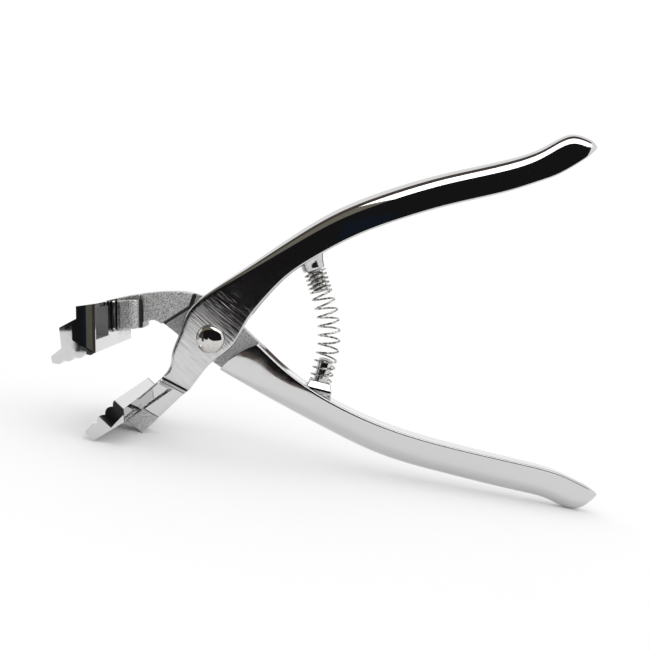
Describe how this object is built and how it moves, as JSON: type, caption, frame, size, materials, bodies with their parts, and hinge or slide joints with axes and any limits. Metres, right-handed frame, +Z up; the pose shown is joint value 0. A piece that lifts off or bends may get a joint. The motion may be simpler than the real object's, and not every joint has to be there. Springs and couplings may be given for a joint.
{
  "type": "wide-jaw stretching pliers",
  "caption": "Chrome spring-return pliers with wide corrugated jaws, a push lug behind the lower jaw and two curved lever handles on a domed rivet.",
  "frame": {"origin": "centre of the footprint at the surface that the tool stands on: the nose of the lower jaw, the push lug and the tip of the lower handle rest on Z = 0", "axes": "+X from the jaws to the handle tips, +Y along the pivot axis away from the domed rivet head, +Z up"},
  "size_m": [0.1996, 0.06, 0.1362],
  "materials": {
    "lever_chrome": "bright chrome over a cast surface, hub faces brushed",
    "rivet_chrome": "mirror polished dome",
    "stud_chrome": "chrome, softer than the levers",
    "spring_wire": "drawn nickelled wire"
  },
  "bodies": {
    "far_lever": {"upper_jaw_lever": "lever_chrome", "pivot_rivet": "rivet_chrome", "lower_spring_stud": "stud_chrome", "return_spring": "spring_wire"},
    "near_lever": {"lower_jaw_lever": "lever_chrome", "upper_spring_stud": "stud_chrome"}
  },
  "joints": [
    {"name": "jaw_pivot", "type": "hinge", "parent": "far_lever", "child": "near_lever", "pos_m": [-0.05035, 0, 0.03907], "axis": [0, 1, 0], "range_deg": [0, 28.5], "stiffness_Nm_per_rad": 0.9, "springref_deg": -20.05, "deforming": ["return_spring"]}
  ]
}
